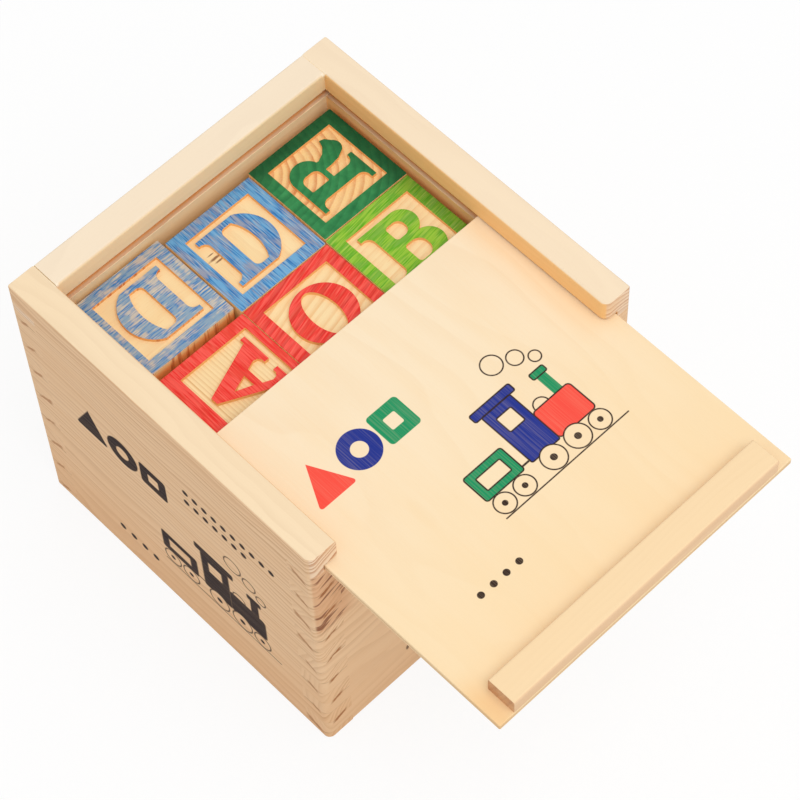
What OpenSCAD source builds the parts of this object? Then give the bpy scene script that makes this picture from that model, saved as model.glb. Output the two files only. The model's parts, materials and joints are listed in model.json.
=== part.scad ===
// Boxed set of wooden alphabet blocks with a sliding lid, in millimetres, Z up.
// The lid draws out towards -Y, and the origin is the centre of the box's underside.

/* [Blocks] */
// edge of one cube
block_size = 30; // [24:0.5:40]
// easing of a cube's edges
block_ease = 0.4; // [0.3:0.1:1.2]
// width of the raised border round the sunk field
border_w = 3.8; // [2.5:0.1:5]
// depth of the sunk field
field_depth = 1.2; // [0.6:0.1:2]
// space between a letter and the border
letter_margin = 1.9; // [1.5:0.1:3]

/* [Room in the box] */
// gap between columns
col_gap = 0.6; // [0.5:0.1:2]
// gap between rows
row_gap = 0.3; // [0.2:0.1:1.5]
// spare width beside the columns
side_room = 3.2; // [1.5:0.1:6]
// spare length beyond the rows
end_room = 4.4; // [3:0.1:9]
// space between the cubes and the lid
lid_room = 1.8; // [0.5:0.1:3]

/* [Walls] */
// wall thickness
wall_t = 9; // [7:0.5:14]
// easing of the outer edges
edge_r = 0.6; // [0.3:0.1:2]
// easing of the inner top edges
inner_r = 0.8; // [0.3:0.1:1.5]
// rail above the lid groove
rail_h = 7; // [4:0.2:12]
// rounding of the front corners that are sanded
sanded_r = 2.2; // [0.7:0.1:4]
// height of one finger of the corner joints
finger_h = 6.3; // [4:0.1:12]
// height of the front wall's uppermost finger
first_finger = 3.9; // [1.5:0.1:6]
// thickness of the bottom panel
bottom_t = 3; // [2:0.5:5]
// width of the seat cut for the bottom panel
seat_w = 4; // [2:0.5:5]
// play round the bottom panel
seat_play = 0.1; // [0.05:0.05:0.4]

/* [Lid] */
// thickness of the lid
lid_t = 2.2; // [2:0.2:5]
// depth of the groove
groove_d = 4.5; // [3:0.1:5.5]
// sideways play of the lid
lid_play = 0.35; // [0.2:0.05:0.8]
// play above the lid
lid_lift = 0.6; // [0.3:0.1:1]
// how far the closed lid's front edge stands back
lid_setback = 1.4; // [0:0.1:2]
// rounding of the lid's corners
lid_corner_r = 0.4; // [0.3:0.1:3]
// how far the lid is drawn out
lid_open = 61.6; // [0:0.2:100]
// depth of the pull strip
strip_w = 9; // [5:0.5:15]
// height of the pull strip
strip_h = 5; // [3:0.2:6]
// space between the strip and each rail
strip_gap = 0.8; // [0.3:0.1:3]
// how far the strip stands back from the lid's front edge
strip_setback = 0.1; // [0:0.1:4]

/* [Hidden] */
$fn = 64;
// cubes along each side of the stack
per_side = 3;
// how far a cut runs past the faces that it opens
past = 1;

inner_w = per_side * block_size + (per_side - 1) * col_gap + side_room;
inner_l = per_side * block_size + (per_side - 1) * row_gap + end_room;
box_w = inner_w + 2 * wall_t;
box_l = inner_l + 2 * wall_t;
lid_z = bottom_t + per_side * block_size + lid_room;
groove_h = lid_t + lid_lift;
box_h = lid_z + groove_h + rail_h;
slot_back = inner_l / 2 + groove_d;

lid_w = inner_w + 2 * groove_d - 2 * lid_play;
lid_back = slot_back - lid_play;
lid_l = lid_back + box_l / 2 - lid_setback;
lid_front = lid_back - lid_l - lid_open;
strip_l = inner_w - 2 * strip_gap;

field_size = block_size - 2 * border_w;
letter_h = field_size - 2 * letter_margin;

// shares of the spare room that place the cubes as they lie in the box
stack_x = 0.1 * side_room;
stack_y = -0.31 * end_room;
corner_push = 0.51 * end_room;
right_push = 0.22 * end_room;
nudge_left = 0.75 * col_gap;
nudge_right = -0.5 * col_gap;
field_drift = 0.35 * border_w;

// drawing grid of the letters: height, half height, serif and stem thickness, serif overhang, oval's steps
glyph_h = 18.6;
cap = glyph_h / 2;
slab = 1.6;
stem = 4.5;
over = 2.4;
oval_step = 7.5;
// curve under a serif: how far it reaches, and how far out its centre lies
bracket_w = 1.8;
bracket_out = 2.2;

pine = [0.86, 0.72, 0.54];
ply = [0.94, 0.82, 0.64];
blue = [0.27, 0.5, 0.73];
red = [0.9, 0.23, 0.2];
green = [0.12, 0.42, 0.25];
lime = [0.42, 0.66, 0.2];

// flat shapes shared by the pieces

// what is cut off a square corner to round it
module corner_cut(r) difference() {
    translate([-past, -past]) square(r + past);
    translate([r, r]) circle(r);
}

// turns a corner drawn for the lower left into any of the four
module to_corner(sx, sy) mirror([sx < 0 ? 1 : 0, 0]) mirror([0, sy < 0 ? 1 : 0]) children();

module eased_rect(w, l, r) difference() {
    square([w, l], center = true);
    for (sx = [-1, 1], sy = [-1, 1])
        translate([sx * w / 2, sy * l / 2]) to_corner(-sx, -sy) corner_cut(r);
}

// section of a wall, outer face at x = 0 and inner face at x = wall_t
module wall_section(h, top_eased) difference() {
    square([wall_t, h]);
    corner_cut(edge_r);
    if (top_eased) {
        translate([0, h]) to_corner(1, -1) corner_cut(edge_r);
        translate([wall_t, h]) to_corner(-1, -1) corner_cut(inner_r);
    }
}

// box

function band_top(k) = lid_z - first_finger + finger_h * (1 - k);
bands = ceil((lid_z - first_finger) / finger_h);

// heights of the corner fingers: even bands belong to the end walls, odd ones to the side walls
module bands_of(first, top) {
    for (k = [first : 2 : bands + 1])
        translate([-wall_t, -wall_t, band_top(k) - finger_h])
            cube([2 * wall_t, 2 * wall_t, min(finger_h, top - band_top(k) + finger_h)]);
}

module box_outline() linear_extrude(box_h) eased_rect(box_w, box_l, edge_r);

// room that the lid slides in
module lid_slot() translate([-inner_w / 2 - groove_d, -box_l / 2 - past, lid_z])
    cube([inner_w + 2 * groove_d, box_l / 2 + past + slot_back, groove_h]);

// seat of the bottom panel
module bottom_seat() translate([-inner_w / 2 - seat_w, -inner_l / 2 - seat_w, -past])
    cube([inner_w + 2 * seat_w, inner_l + 2 * seat_w, past + bottom_t]);

// what is sanded off an upright front corner that looks to the left
module sanded_corner(x, z) translate([x, -box_l / 2, z])
    linear_extrude(box_h + 2 * past) corner_cut(sanded_r);

module side_wall() difference() {
    intersection() {
        translate([-box_w / 2, box_l / 2, 0]) rotate([90, 0, 0])
            linear_extrude(box_l) wall_section(box_h, true);
        box_outline();
    }
    lid_slot();
    bottom_seat();
    translate([-box_w / 2, box_l / 2, 0]) bands_of(0, box_h);
    translate([-box_w / 2, -box_l / 2, 0]) bands_of(0, lid_z);
}

// a wall across the box, drawn at the front
module end_wall(h, top_eased) intersection() {
    translate([-box_w / 2, -box_l / 2, 0]) rotate([90, 0, 90])
        linear_extrude(box_w) wall_section(h, top_eased);
    box_outline();
}

module left_wall() color(pine) difference() {
    side_wall();
    sanded_corner(-box_w / 2, -past);
}

// here only the rail's end is sanded
module right_wall() color(pine) difference() {
    mirror([1, 0, 0]) side_wall();
    sanded_corner(inner_w / 2, lid_z + groove_h / 2);
}

module back_wall() color(pine) difference() {
    mirror([0, 1, 0]) end_wall(box_h, true);
    lid_slot();
    bottom_seat();
    for (sx = [-1, 1]) translate([sx * box_w / 2, box_l / 2, 0]) {
        bands_of(1, box_h);
        translate([-wall_t, -wall_t, band_top(0)]) cube([2 * wall_t, 2 * wall_t, box_h]);
    }
}

module front_wall() color(pine) difference() {
    end_wall(lid_z, false);
    bottom_seat();
    sanded_corner(-box_w / 2, -past);
    for (sx = [-1, 1]) translate([sx * box_w / 2, -box_l / 2, 0]) bands_of(1, lid_z);
}

module bottom_panel() color(ply) translate([0, 0, bottom_t / 2])
    cube([inner_w + 2 * (seat_w - seat_play), inner_l + 2 * (seat_w - seat_play), bottom_t], center = true);

// lid

module lid_panel() color(ply) translate([0, lid_front + lid_l / 2, lid_z])
    linear_extrude(lid_t) eased_rect(lid_w, lid_l, lid_corner_r);

module strip_section() difference() {
    square([strip_w, strip_h]);
    translate([0, strip_h]) to_corner(1, -1) corner_cut(inner_r);
    translate([strip_w, strip_h]) to_corner(-1, -1) corner_cut(inner_r);
}

module pull_strip() color(ply) translate([-strip_l / 2, lid_front + strip_setback, lid_z + lid_t])
    rotate([90, 0, 90]) linear_extrude(strip_l) strip_section();

// letters, drawn on a grid whose origin is the letter's middle

module bar(x0, y0, x1, y1) translate([x0, y0]) square([x1 - x0, y1 - y0]);

module disc(x, y, r) translate([x, y]) circle(r);

// slanted stroke, placed by its left edge at the bottom and at the top
module leg(xb, yb, xt, yt, w) polygon([[xb, yb], [xb + w, yb], [xt + w, yt], [xt, yt]]);

module top_slab(x0, x1) bar(x0, cap - slab, x1, cap);

module foot_slab(x0, x1) bar(x0, -cap, x1, slab - cap);

// curved filling between a stem at x and a serif at y, on the side that sx and sy name
module bracket(x, y, sx, sy) translate([x, y]) to_corner(sx, sy) difference() {
    translate([-slab / 2, -slab / 2]) square(bracket_w + slab / 2);
    translate([bracket_out, bracket_out]) circle(norm([bracket_out, bracket_out - bracket_w]));
}

// brackets on the left of a stem at x, under its head serif and over its foot serif
module left_brackets(x) for (side = [-1, 1]) bracket(x, side * (cap - slab), -1, -side);

module post(x0, w, reach) {
    bar(x0, -cap, x0 + w, cap);
    top_slab(x0 - reach, x0 + w + reach);
    foot_slab(x0 - reach, x0 + w + reach);
}

// upright oval: half width a, half height b
module oval(a, b) polygon([for (turn = [0 : oval_step : 360 - oval_step]) [a * cos(turn), b * sin(turn)]]);

// half-round form with a straight left side
module eye(x0, y0, x1, y1) {
    r = (y1 - y0) / 2;
    bar(x0, y0, x1 - r, y1);
    disc(x1 - r, y0 + r, r);
}

// opening beside a stem, with its left and right corners rounded
module counter(x0, y0, x1, y1, left_r, right_r) difference() {
    bar(x0, y0, x1, y1);
    for (edge = [[y0, 1], [y1, -1]]) {
        translate([x0, edge[0]]) to_corner(1, edge[1]) corner_cut(left_r);
        translate([x1, edge[0]]) to_corner(-1, edge[1]) corner_cut(right_r);
    }
}

module round_letter() difference() {
    circle(cap);
    oval(4, 7.8);
}

module open_round() difference() {
    circle(cap);
    translate([1.2, 0]) oval(4.6, 7.7);
    bar(3, -3.2, cap + past, 3.4);
}

module left_stem() {
    bar(-6, -cap, -1.6, cap);
    top_slab(-8.9, 0.6);
    foot_slab(-8.9, 0.6);
    left_brackets(-6);
}

module glyph_a() {
    difference() {
        polygon([[-0.6, cap], [1.7, cap], [8.6, -cap], [-9.8, -cap]]);
        polygon([[-1, 3.7], [0.7, -1.2], [-3, -1.2]]);
        polygon([[1.4, -3.2], [4, -cap - past], [-7.4, -cap - past], [-4.1, -3.2]]);
    }
    foot_slab(0.1, 9.4);
    foot_slab(-10, -3.1);
    polygon([[2.4, -5.5], [3.8, -8.2], [0.9, -7.9], [2.1, -7]]);
    polygon([[-5.4, -5.5], [-6.8, -8.2], [-4, -7.9], [-5.1, -7]]);
}

module glyph_b() {
    difference() {
        union() {
            left_stem();
            eye(-4, -0.1, 7.7, cap);
            eye(-4, -cap, 9.1, 0.4);
        }
        counter(-1.5, 1.6, 3.5, 6.6, 1, 2.2);
        counter(-1.5, -7.4, 4.1, -1, 1, 2.8);
    }
}

module glyph_c() {
    open_round();
    bar(6.6, 3.2, 8.2, 8.6);
}

module glyph_d() {
    difference() {
        union() {
            bar(-7, -cap, -2.4, cap);
            intersection() {
                translate([-0.6, 0]) oval(9.7, 10.2);
                bar(-4, -cap, cap, cap);
            }
        }
        intersection() {
            translate([-1.2, 0]) oval(4.7, 9.2);
            counter(-2.4, -7.5, 4, 7.5, 1.7, 1);
        }
    }
    top_slab(-9.4, -4);
    foot_slab(-9.4, -4);
    left_brackets(-7);
}

module glyph_e() {
    left_stem();
    top_slab(-2, 7.6);
    foot_slab(-2, 8);
    bar(-2, -slab / 2, 4, slab / 2);
    bar(2.6, -2.8, 4, 2.8);
    bar(6, 3.6, 7.6, cap);
    bar(6.4, -cap, 8, -3.6);
}

module glyph_f() {
    left_stem();
    top_slab(-2, 7.6);
    bar(-2, -slab / 2, 4, slab / 2);
    bar(2.6, -2.8, 4, 2.8);
    bar(6, 3.6, 7.6, cap);
}

module glyph_g() {
    glyph_c();
    bar(3.6, -7.6, 8, -0.6);
    bar(1.6, -1.8, 9.4, -0.2);
}

module glyph_h() {
    post(-8, 4, 1.4);
    post(4, 4, 1.4);
    bar(-4.5, -slab / 2, 4.5, slab / 2);
}

module glyph_i() post(-stem / 2, stem, over);

module glyph_j() {
    bar(-0.6, -3.6, 3.9, cap);
    top_slab(-3.4, 6.4);
    difference() {
        disc(-1.8, -3.6, 5.7);
        disc(-1.8, -3.6, 1.2);
        bar(-cap, -3.6, cap, cap);
    }
    disc(-5.3, -3.6, 2.1);
}

module glyph_k() {
    post(-8.2, stem, 1.4);
    leg(-4.6, -1.6, 4.4, cap, 2.4);
    leg(3.4, -cap, -2.6, 2.2, 5.2);
    top_slab(2.6, 8.8);
    foot_slab(2.4, 9.6);
}

module glyph_l() {
    left_stem();
    foot_slab(-2, 8);
    bar(6.4, -cap, 8, -3.4);
}

module glyph_m() {
    bar(-7.6, -cap, -5.8, cap);
    bar(4.6, -cap, 8.8, cap);
    leg(-1.9, -6, -8, cap, 4.4);
    leg(-0.2, -6, 4.4, cap, 1.9);
    top_slab(-9.6, -4);
    top_slab(4.5, 10);
    foot_slab(-9.6, -3.8);
    foot_slab(3.2, 10);
}

module glyph_n() {
    bar(-7.4, -cap, -5.6, cap);
    bar(5.2, -cap, 7, cap);
    leg(1.8, -cap, -8.2, cap, 5.2);
    top_slab(-9.6, -3);
    top_slab(2.8, 9.4);
    foot_slab(-9.4, -3.6);
}

module glyph_o() round_letter();

module glyph_p() {
    difference() {
        union() {
            left_stem();
            eye(-4, -1.1, 8.4, cap);
        }
        counter(-1.6, 0.9, 3.8, 7.3, 1, 2.8);
    }
}

module glyph_q() {
    round_letter();
    polygon([[0.6, -4.6], [3.4, -3.2], [9.6, -9.9], [5.4, -9.9]]);
}

module glyph_r() {
    difference() {
        union() {
            bar(-6, -cap, -1.9, cap);
            eye(-4, -0.6, 7.9, cap);
        }
        counter(-1.9, 1.1, 3.1, 7, 0.4, 2);
    }
    top_slab(-9.2, -3);
    foot_slab(-9.2, 0.6);
    left_brackets(-6);
    bracket(-1.9, slab - cap, 1, 1);
    polygon([[1.2, 0.6], [4.6, 0.2], [4.5, -1], [5.5, -3.2], [7.2, -4.8], [9.2, -5.5], [8.7, -7], [7, -8.2],
        [5, -6.6], [2.6, -7.6], [1.6, -5.6], [1.2, -2.7]]);
    disc(5, -6.6, 2.6);
}

module glyph_s() {
    difference() {
        disc(0, 4, 5.3);
        disc(0, 4, 1.9);
        bar(0, 1.3, 6, 4.6);
    }
    difference() {
        disc(0, -4, 5.3);
        disc(0, -4, 1.9);
        bar(-6, -4.6, 0, -1.3);
    }
    bar(4, 4.4, 5.6, 9.2);
    bar(-5.6, -9.2, -4, -4.4);
}

module glyph_t() {
    bar(-stem / 2, -cap, stem / 2, cap);
    foot_slab(-5, 5);
    top_slab(-8.6, 8.6);
    bar(-8.6, 3.8, -7, cap);
    bar(7, 3.8, 8.6, cap);
}

module glyph_u() {
    bar(-7, -2.6, -2.6, cap);
    bar(5, -2.6, 6.8, cap);
    difference() {
        disc(-0.1, -2.4, 6.9);
        disc(1.2, -2.4, 3.8);
        bar(-cap, -2.4, cap, cap);
    }
    top_slab(-9.4, -0.4);
    top_slab(2.8, 9.2);
}

module glyph_v() {
    leg(-1.6, -cap, -8.2, cap, 5);
    leg(-0.8, -cap, 5.2, cap, 2.2);
    top_slab(-9.8, -1.2);
    top_slab(2.8, 9.4);
}

module glyph_w() {
    leg(-5.4, -cap, -9.2, cap, 3.6);
    leg(-4.4, -cap, -1.4, cap, 1.8);
    leg(2, -cap, -1.8, cap, 3.6);
    leg(3.2, -cap, 7, cap, 1.8);
    top_slab(-10.4, -4.4);
    top_slab(5, 10.4);
}

module glyph_x() {
    leg(3, -cap, -8.2, cap, 5.2);
    leg(-7.8, -cap, 5.4, cap, 2.4);
    top_slab(-9.8, -1.4);
    top_slab(2.8, 9.4);
    foot_slab(-9.6, -3.2);
    foot_slab(1.2, 9.8);
}

module glyph_y() {
    bar(-2, -cap, 2.5, -0.4);
    leg(-2, -1.6, -8.6, cap, 4.8);
    leg(0.2, -1.6, 5.2, cap, 2.3);
    top_slab(-10, -1.8);
    top_slab(2.8, 9.2);
    foot_slab(-4.6, 5.1);
}

module glyph_z() {
    top_slab(-7.4, 7.6);
    foot_slab(-8, 8);
    leg(-8, -cap, 2.4, cap, 5.2);
    bar(-7.4, 4.2, -5.8, cap);
    bar(6.4, -cap, 8, -4.2);
}

// cubes: columns left to right, rows front to back and layers upwards, each counted from 0

function col_x(col) = stack_x + (col - 1) * (block_size + col_gap);
function row_y(row) = stack_y + (row - 1) * (block_size + row_gap);
function layer_z(layer) = bottom_t + (layer + 0.5) * block_size;
function nudge_x(col, row) = row == 2 || col == 1 ? 0 : col == 0 ? nudge_left : nudge_right;
function nudge_y(col, row) = col == 2 ? right_push : col == 0 && row == 2 ? corner_push : 0;

module eased_prism(turn) rotate(turn) linear_extrude(block_size, center = true)
    eased_rect(block_size, block_size, block_ease);

module eased_cube() intersection() {
    eased_prism([0, 0, 0]);
    eased_prism([90, 0, 0]);
    eased_prism([0, 90, 0]);
}

module letter_block(col, row, layer, turn, drift = 0)
    translate([col_x(col) + nudge_x(col, row), row_y(row) + nudge_y(col, row), layer_z(layer)]) difference() {
        eased_cube();
        translate([drift, 0, block_size / 2 - field_depth]) linear_extrude(field_depth + past) difference() {
            square(field_size, center = true);
            rotate(turn) scale(letter_h / glyph_h) children();
        }
    }

// top layer
module block_d_two() color(blue) letter_block(0, 2, 2, 180) glyph_d();
module block_d() color(blue) letter_block(1, 2, 2, 0) glyph_d();
module block_r() color(green) letter_block(2, 2, 2, 90) glyph_r();
module block_a() color(red) letter_block(0, 1, 2, 90, field_drift) glyph_a();
module block_o() color(red) letter_block(1, 1, 2, 0) glyph_o();
module block_b() color(lime) letter_block(2, 1, 2, 0) glyph_b();
module block_c() color(green) letter_block(0, 0, 2, 0) glyph_c();
module block_e() color(lime) letter_block(1, 0, 2, 270) glyph_e();
module block_s() color(blue) letter_block(2, 0, 2, 0) glyph_s();

// middle layer
module block_f() color(red) letter_block(0, 2, 1, 0) glyph_f();
module block_g() color(green) letter_block(1, 2, 1, 90) glyph_g();
module block_h() color(lime) letter_block(2, 2, 1, 0) glyph_h();
module block_i() color(blue) letter_block(0, 1, 1, 0) glyph_i();
module block_j() color(lime) letter_block(1, 1, 1, 180) glyph_j();
module block_k() color(red) letter_block(2, 1, 1, 0) glyph_k();
module block_l() color(blue) letter_block(0, 0, 1, 270) glyph_l();
module block_m() color(red) letter_block(1, 0, 1, 0) glyph_m();
module block_n() color(green) letter_block(2, 0, 1, 0) glyph_n();

// bottom layer
module block_p() color(lime) letter_block(0, 2, 0, 90) glyph_p();
module block_q() color(blue) letter_block(1, 2, 0, 0) glyph_q();
module block_t() color(red) letter_block(2, 2, 0, 180) glyph_t();
module block_u() color(green) letter_block(0, 1, 0, 0) glyph_u();
module block_v() color(blue) letter_block(1, 1, 0, 0) glyph_v();
module block_w() color(lime) letter_block(2, 1, 0, 90) glyph_w();
module block_x() color(red) letter_block(0, 0, 0, 0) glyph_x();
module block_y() color(green) letter_block(1, 0, 0, 270) glyph_y();
module block_z() color(blue) letter_block(2, 0, 0, 0) glyph_z();

left_wall();
right_wall();
back_wall();
front_wall();
bottom_panel();
lid_panel();
pull_strip();
block_a();
block_b();
block_c();
block_d();
block_d_two();
block_e();
block_f();
block_g();
block_h();
block_i();
block_j();
block_k();
block_l();
block_m();
block_n();
block_o();
block_p();
block_q();
block_r();
block_s();
block_t();
block_u();
block_v();
block_w();
block_x();
block_y();
block_z();
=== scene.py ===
import json
import math
import random

import bmesh
import bpy
from mathutils import Matrix, Vector


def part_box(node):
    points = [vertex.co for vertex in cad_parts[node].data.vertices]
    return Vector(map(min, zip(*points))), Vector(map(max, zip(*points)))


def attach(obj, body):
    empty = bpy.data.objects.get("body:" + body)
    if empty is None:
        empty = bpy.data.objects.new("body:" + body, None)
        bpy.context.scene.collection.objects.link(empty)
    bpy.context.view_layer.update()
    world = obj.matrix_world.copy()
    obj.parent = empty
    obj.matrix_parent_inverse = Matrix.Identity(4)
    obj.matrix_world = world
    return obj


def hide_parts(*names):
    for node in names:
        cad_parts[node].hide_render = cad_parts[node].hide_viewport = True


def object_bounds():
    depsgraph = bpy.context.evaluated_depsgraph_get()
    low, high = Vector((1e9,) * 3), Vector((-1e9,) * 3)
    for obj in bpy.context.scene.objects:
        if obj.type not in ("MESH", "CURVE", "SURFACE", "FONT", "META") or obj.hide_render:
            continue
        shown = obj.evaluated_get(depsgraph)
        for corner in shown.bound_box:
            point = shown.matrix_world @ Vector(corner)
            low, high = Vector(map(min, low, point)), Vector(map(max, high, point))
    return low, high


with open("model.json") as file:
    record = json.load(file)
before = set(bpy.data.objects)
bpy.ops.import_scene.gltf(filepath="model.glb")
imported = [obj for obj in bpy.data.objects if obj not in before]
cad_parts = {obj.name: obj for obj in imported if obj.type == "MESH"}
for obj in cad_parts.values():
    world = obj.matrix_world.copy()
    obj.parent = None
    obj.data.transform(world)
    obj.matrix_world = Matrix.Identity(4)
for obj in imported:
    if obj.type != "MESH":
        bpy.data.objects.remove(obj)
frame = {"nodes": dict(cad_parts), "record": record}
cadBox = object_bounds()

perMetre = 1000.0  # materials work in millimetres
bodyOf = {node: body for body, nodes in frame["record"]["behaviour"]["bodies"].items() for node in nodes}
slotOf = {part["node"]: part["material_slot"] for part in frame["record"]["subparts"]}


def tint(red, green, blue):
    # a colour in the usual screen values, made linear
    def linear(value):
        share = value / 255
        return share / 12.92 if share <= 0.04045 else ((share + 0.055) / 1.055) ** 2.4
    return linear(red), linear(green), linear(blue), 1.0


def span(node):
    # a node's lowest and highest corner in millimetres
    low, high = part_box(node)
    return low * perMetre, high * perMetre


boxHigh = span("right_wall")[1]
lidLow = span("lid_panel")[0].z


class Wire:  # a shader socket that can stand in a sum
    def __init__(self, finish, socket):
        self.finish = finish
        self.socket = socket

    def calc(self, operation, *terms):
        return self.finish.add("ShaderNodeMath", {"operation": operation}, dict(enumerate(terms)))

    def __add__(self, other):
        return self.calc("ADD", self, other)

    def __radd__(self, other):
        return self.calc("ADD", other, self)

    def __sub__(self, other):
        return self.calc("SUBTRACT", self, other)

    def __rsub__(self, other):
        return self.calc("SUBTRACT", other, self)

    def __mul__(self, other):
        return self.calc("MULTIPLY", self, other)

    def __truediv__(self, other):
        return self.calc("DIVIDE", self, other)

    def __abs__(self):
        return self.calc("ABSOLUTE", self)

    def root(self):
        return self.calc("SQRT", self)

    def fract(self):
        return self.calc("FRACT", self)

    def nearest(self):
        return self.calc("ROUND", self)

    def most(self, other):
        return self.calc("MAXIMUM", self, other)

    def least(self, other):
        return self.calc("MINIMUM", self, other)


# how far one noise lies from the next, and its share along each axis; each piece starts further off
seedStride = 17.3
seedShares = (1.0, 0.37, 0.71)
pieceStride = 101.0
bumpStrength = 0.6


class Finish:  # a material or the sky, and the nodes that make it
    def __init__(self, owner):
        owner.use_nodes = True
        self.owner = owner
        self.tree = owner.node_tree
        self.nextSeed = 0.0

    def add(self, kind, settings, values, outputs=0):
        node = self.tree.nodes.new(kind)
        for key, value in settings.items():
            setattr(node, key, value)
        for key, value in values.items():
            if isinstance(value, Wire):
                self.tree.links.new(value.socket, node.inputs[key])
            else:
                node.inputs[key].default_value = value
        if isinstance(outputs, tuple):
            return [Wire(self, node.outputs[each]) for each in outputs]
        return Wire(self, node.outputs[outputs])

    def place(self):
        # where a point lies on the piece, in millimetres
        spot = self.add("ShaderNodeTexCoord", {}, {}, "Object")
        scaled = self.add("ShaderNodeVectorMath", {"operation": "SCALE"}, {0: spot, "Scale": perMetre})
        return self.add("ShaderNodeSeparateXYZ", {}, {0: scaled}, (0, 1, 2))

    def facing(self):
        # which way the surface looks
        way = self.add("ShaderNodeTexCoord", {}, {}, "Normal")
        return self.add("ShaderNodeSeparateXYZ", {}, {0: way}, (0, 1, 2))

    def step(self, value, low, high):
        # 0 below low and 1 above high, or the other way round
        return self.add("ShaderNodeMapRange", {"interpolation_type": "SMOOTHSTEP"},
                        {"Value": value, "From Min": low, "From Max": high})

    def noise(self, along, across, depth, detail=1.0):
        self.nextSeed += seedStride
        point = self.add("ShaderNodeCombineXYZ", {}, {0: along, 1: across, 2: depth})
        shift = [self.nextSeed * share for share in seedShares]
        moved = self.add("ShaderNodeVectorMath", {"operation": "ADD"}, {0: point, 1: shift})
        return self.add("ShaderNodeTexNoise", {}, {"Vector": moved, "Scale": 1.0, "Detail": detail})

    def blend(self, share, under, over):
        return self.add("ShaderNodeMix", {"data_type": "RGBA"}, {0: share, 6: under, 7: over}, 2)

    def coat(self, colour, roughness, height, depth, gloss):
        # joins the finish to the shader, with the height as a bump of that depth in millimetres
        shader = self.tree.nodes["Principled BSDF"]
        shader.inputs["Specular IOR Level"].default_value = gloss
        bump = self.add("ShaderNodeBump", {}, {
            "Height": height, "Distance": depth / perMetre, "Strength": bumpStrength})
        for key, wire in (("Base Color", colour), ("Roughness", roughness), ("Normal", bump)):
            self.tree.links.new(wire.socket, shader.inputs[key])
        return self.owner

    def show(self, surface):
        # joins a shader of its own to the output
        for node in self.tree.nodes:
            if node.bl_idname in ("ShaderNodeOutputMaterial", "ShaderNodeOutputWorld"):
                self.tree.links.new(surface.socket, node.inputs["Surface"])


def newFinish(name):
    return Finish(bpy.data.materials.new(name))


# how each pattern in the wood is stretched, along the grain and across it
woodPatterns = {
    "sway": (0.016, 0.05), "flutter": (0.09, 0.25), "fibre": (0.05, 3.0), "fleck": (0.22, 4.5),
    "cloud": (0.03, 0.12),
}
# the values between which each pattern sets in, and how strong a ring's late wood is
woodLevels = {
    "ringPace": 0.45, "vigourPace": (0.83, 0.012), "vigourGain": 1.5, "vigourLoss": 0.1,
    "lateStart": (0.25, 0.9), "lateEnd": (1.0, 0.92),
    "fleck": (0.6, 0.72), "cloud": (0.35, 0.75), "fibre": (0.2, 0.8),
}


def growWood(finish, along, across, depth, ends, grain):
    # pine cut from a log: rings round a pith that runs along the grain
    finish.nextSeed = grain["seed"] * pieceStride
    levels = woodLevels

    def pattern(name, detail=1.0):
        long, wide = woodPatterns[name]
        return finish.noise(along * long, across * wide, depth * wide, detail)

    sway = pattern("sway") - 0.5
    flutter = pattern("flutter") - 0.5
    fromPith = across - grain["pith"][0]
    fromHeart = depth - grain["pith"][1]
    radius = (fromPith * fromPith + fromHeart * fromHeart).root() + sway * grain["sway"]
    count = (radius + flutter * grain["flutter"]) / grain["ring"]
    age = count + finish.noise(count * levels["ringPace"], 0.5, 0.5) * grain["uneven"]
    phase = age.fract()
    yearPace, longPace = levels["vigourPace"]
    vigour = finish.noise((age - phase) * yearPace, along * longPace, 0.7)
    late = finish.step(phase, *levels["lateStart"]) * finish.step(phase, *levels["lateEnd"])
    late = late * (vigour * levels["vigourGain"] - levels["vigourLoss"])
    fibre = pattern("fibre", 3.0)
    fleck = finish.step(pattern("fleck"), *levels["fleck"]) * grain["fleck"]
    cloud = finish.step(pattern("cloud", 2.0), *levels["cloud"]) * grain["cloud"]
    late = (late * (grain["contrast"] + ends * grain["endContrast"])).least(1.0).most(0.0)
    early = finish.blend(ends, tint(*grain["early"]), tint(*grain["endEarly"]))
    dark = finish.blend(ends, tint(*grain["late"]), tint(*grain["endLate"]))
    colour = finish.blend(late, early, dark)
    colour = finish.blend(cloud, colour, tint(*grain["warm"]))
    colour = finish.blend(fleck, colour, tint(*grain["late"]))
    shade = finish.step(fibre, *levels["fibre"]) * grain["fibre"]
    colour = finish.blend(shade, colour, tint(*grain["pale"]))
    return {"colour": colour, "late": late, "fibre": fibre}


def relief(wood, surface):
    # how high the fibres and the late wood stand
    return wood["fibre"] * surface["fibre"] + wood["late"] * surface["late"]


# shapes on a flat place, as distances from their edge in millimetres

def discShape(across, up, spot, radius):
    dx = across - spot[0]
    dy = up - spot[1]
    return (dx * dx + dy * dy).root() - radius


def slabShape(across, up, spot, half, radius):
    dx = abs(across - spot[0]) - (half[0] - radius)
    dy = abs(up - spot[1]) - (half[1] - radius)
    px = dx.most(0.0)
    py = dy.most(0.0)
    return (px * px + py * py).root() + dx.most(dy).least(0.0) - radius


def wedgeShape(across, up, spot, half, radius):
    # a triangle that stands on its foot
    dx = abs(across - spot[0])
    dy = up - spot[1]
    length = math.hypot(2 * half[1], half[0])
    flank = (dx * (2 * half[1]) + (dy - half[1]) * half[0]) / length + radius
    foot = (dy + half[1] - radius) * -1.0
    px = flank.most(0.0)
    py = foot.most(0.0)
    return (px * px + py * py).root() + flank.most(foot).least(0.0) - radius


def filled(finish, shape, soft):
    return finish.step(shape, soft, -soft)


def outside(finish, shape, soft):
    return finish.step(shape, -soft, soft)


def drawn(finish, shape, width, soft):
    return finish.step(abs(shape) - width / 2, soft, -soft)


def joined(masks):
    whole = masks[0]
    for mask in masks[1:]:
        whole = whole.most(mask)
    return whole


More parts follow.
